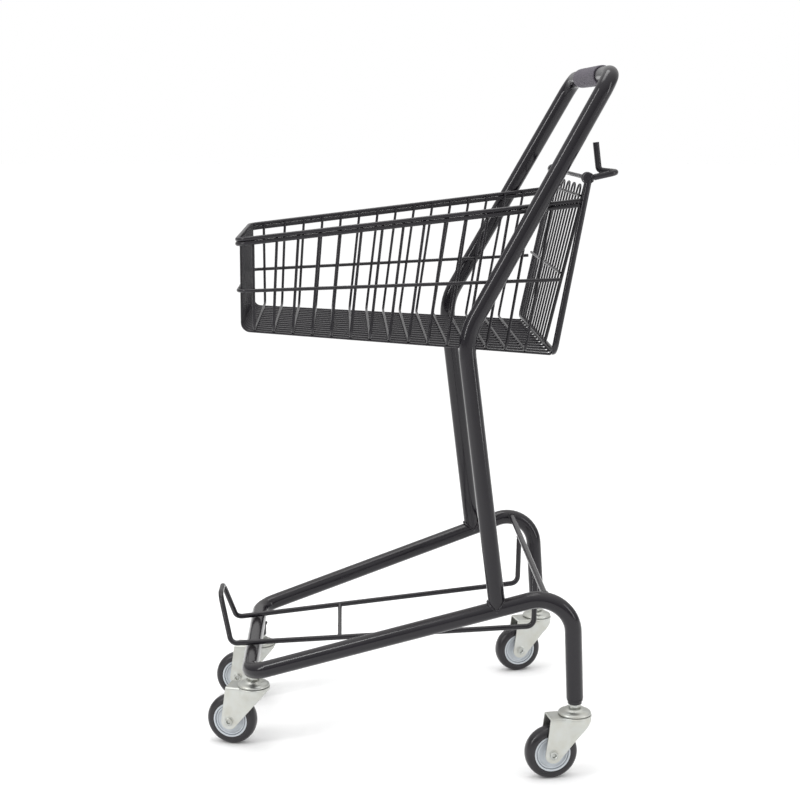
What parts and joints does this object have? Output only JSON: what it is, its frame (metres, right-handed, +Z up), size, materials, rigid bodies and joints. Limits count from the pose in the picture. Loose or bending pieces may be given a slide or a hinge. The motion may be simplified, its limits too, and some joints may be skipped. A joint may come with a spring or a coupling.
{
  "type": "nesting shopping cart",
  "caption": "Small nesting shopping cart with a tapered wire basket, a rear swing gate, a lower wire rack, bent tube frames and swivel casters.",
  "frame": {"origin": "centre of the footprint, on the floor plane the wheels stand on", "axes": "+X towards the handle (rear), +Y the user's right-hand side, +Z up"},
  "size_m": [0.5915, 0.5051, 1.0015],
  "materials": {
    "black_tube": "gloss black coated steel tube",
    "black_wire": "gloss black coated steel wire",
    "grip": "matt grey moulded sleeve",
    "zinc_sheet": "bright zinc plated pressed steel",
    "zinc_bolt": "zinc plated turned steel",
    "hub": "pale blue grey moulded plastic",
    "tyre": "semi-gloss black rubber"
  },
  "bodies": {
    "cart_frame": {"bag_hook": "black_wire", "base_frame": "black_tube", "basket_cross_wires": "black_wire", "basket_long_wires": "black_wire", "basket_mid_wire": "black_wire", "basket_rear_frame": "black_wire", "basket_rim_lower": "black_wire", "basket_rim_upper": "black_wire", "cross_brace": "black_wire", "handle_frame": "black_tube", "handle_grip": "grip", "hinge_rod": "black_wire", "lower_rack": "black_wire", "rack_cross_bar": "black_wire", "socket_front_left": "black_tube", "socket_front_right": "black_tube", "socket_rear_left": "black_tube", "socket_rear_right": "black_tube", "stem_front_left": "zinc_bolt", "stem_front_right": "zinc_bolt", "stem_rear_left": "zinc_bolt", "stem_rear_right": "zinc_bolt", "upper_race_front_left": "zinc_sheet", "upper_race_front_right": "zinc_sheet", "upper_race_rear_left": "zinc_sheet", "upper_race_rear_right": "zinc_sheet"},
    "gate": {"gate_cross_bars": "black_wire", "gate_frame": "black_wire", "gate_wires": "black_wire"},
    "swivel_front_left": {"axle_bolt_front_left": "zinc_bolt", "axle_nut_front_left": "zinc_bolt", "axle_sleeve_front_left": "zinc_bolt", "fork_front_left": "zinc_sheet"},
    "wheel_front_left": {"tyre_front_left": "tyre", "wheel_hub_front_left": "hub"},
    "swivel_front_right": {"axle_bolt_front_right": "zinc_bolt", "axle_nut_front_right": "zinc_bolt", "axle_sleeve_front_right": "zinc_bolt", "fork_front_right": "zinc_sheet"},
    "wheel_front_right": {"tyre_front_right": "tyre", "wheel_hub_front_right": "hub"},
    "swivel_rear_left": {"axle_bolt_rear_left": "zinc_bolt", "axle_nut_rear_left": "zinc_bolt", "axle_sleeve_rear_left": "zinc_bolt", "fork_rear_left": "zinc_sheet"},
    "wheel_rear_left": {"tyre_rear_left": "tyre", "wheel_hub_rear_left": "hub"},
    "swivel_rear_right": {"axle_bolt_rear_right": "zinc_bolt", "axle_nut_rear_right": "zinc_bolt", "axle_sleeve_rear_right": "zinc_bolt", "fork_rear_right": "zinc_sheet"},
    "wheel_rear_right": {"tyre_rear_right": "tyre", "wheel_hub_rear_right": "hub"}
  },
  "joints": [
    {"name": "gate_hinge", "type": "hinge", "parent": "cart_frame", "child": "gate", "pos_m": [0.2488, 0, 0.847], "axis": [0, 1, 0], "range_deg": [0, 75]},
    {"name": "swivel_front_left", "type": "hinge", "parent": "cart_frame", "child": "swivel_front_left", "pos_m": [-0.2244, -0.097, 0.09], "axis": [0, 0, 1], "continuous": true},
    {"name": "spin_front_left", "type": "hinge", "parent": "swivel_front_left", "child": "wheel_front_left", "pos_m": [-0.25747, -0.08752, 0.038], "axis": [0.2756, 0.9613, 0], "continuous": true},
    {"name": "swivel_front_right", "type": "hinge", "parent": "cart_frame", "child": "swivel_front_right", "pos_m": [-0.2244, 0.097, 0.09], "axis": [0, 0, 1], "continuous": true},
    {"name": "spin_front_right", "type": "hinge", "parent": "swivel_front_right", "child": "wheel_front_right", "pos_m": [-0.25817, 0.10356, 0.038], "axis": [0.1908, 0.9816, 0], "continuous": true},
    {"name": "swivel_rear_left", "type": "hinge", "parent": "cart_frame", "child": "swivel_rear_left", "pos_m": [0.2388, -0.227, 0.09], "axis": [0, 0, 1], "continuous": true},
    {"name": "spin_rear_left", "type": "hinge", "parent": "swivel_rear_left", "child": "wheel_rear_left", "pos_m": [0.20482, -0.23238, 0.038], "axis": [-0.1564, 0.9877, 0], "continuous": true},
    {"name": "swivel_rear_right", "type": "hinge", "parent": "cart_frame", "child": "swivel_rear_right", "pos_m": [0.2388, 0.227, 0.09], "axis": [0, 0, 1], "continuous": true},
    {"name": "spin_rear_right", "type": "hinge", "parent": "swivel_rear_right", "child": "wheel_rear_right", "pos_m": [0.20542, 0.21868, 0.038], "axis": [-0.2419, 0.9703, 0], "continuous": true}
  ]
}
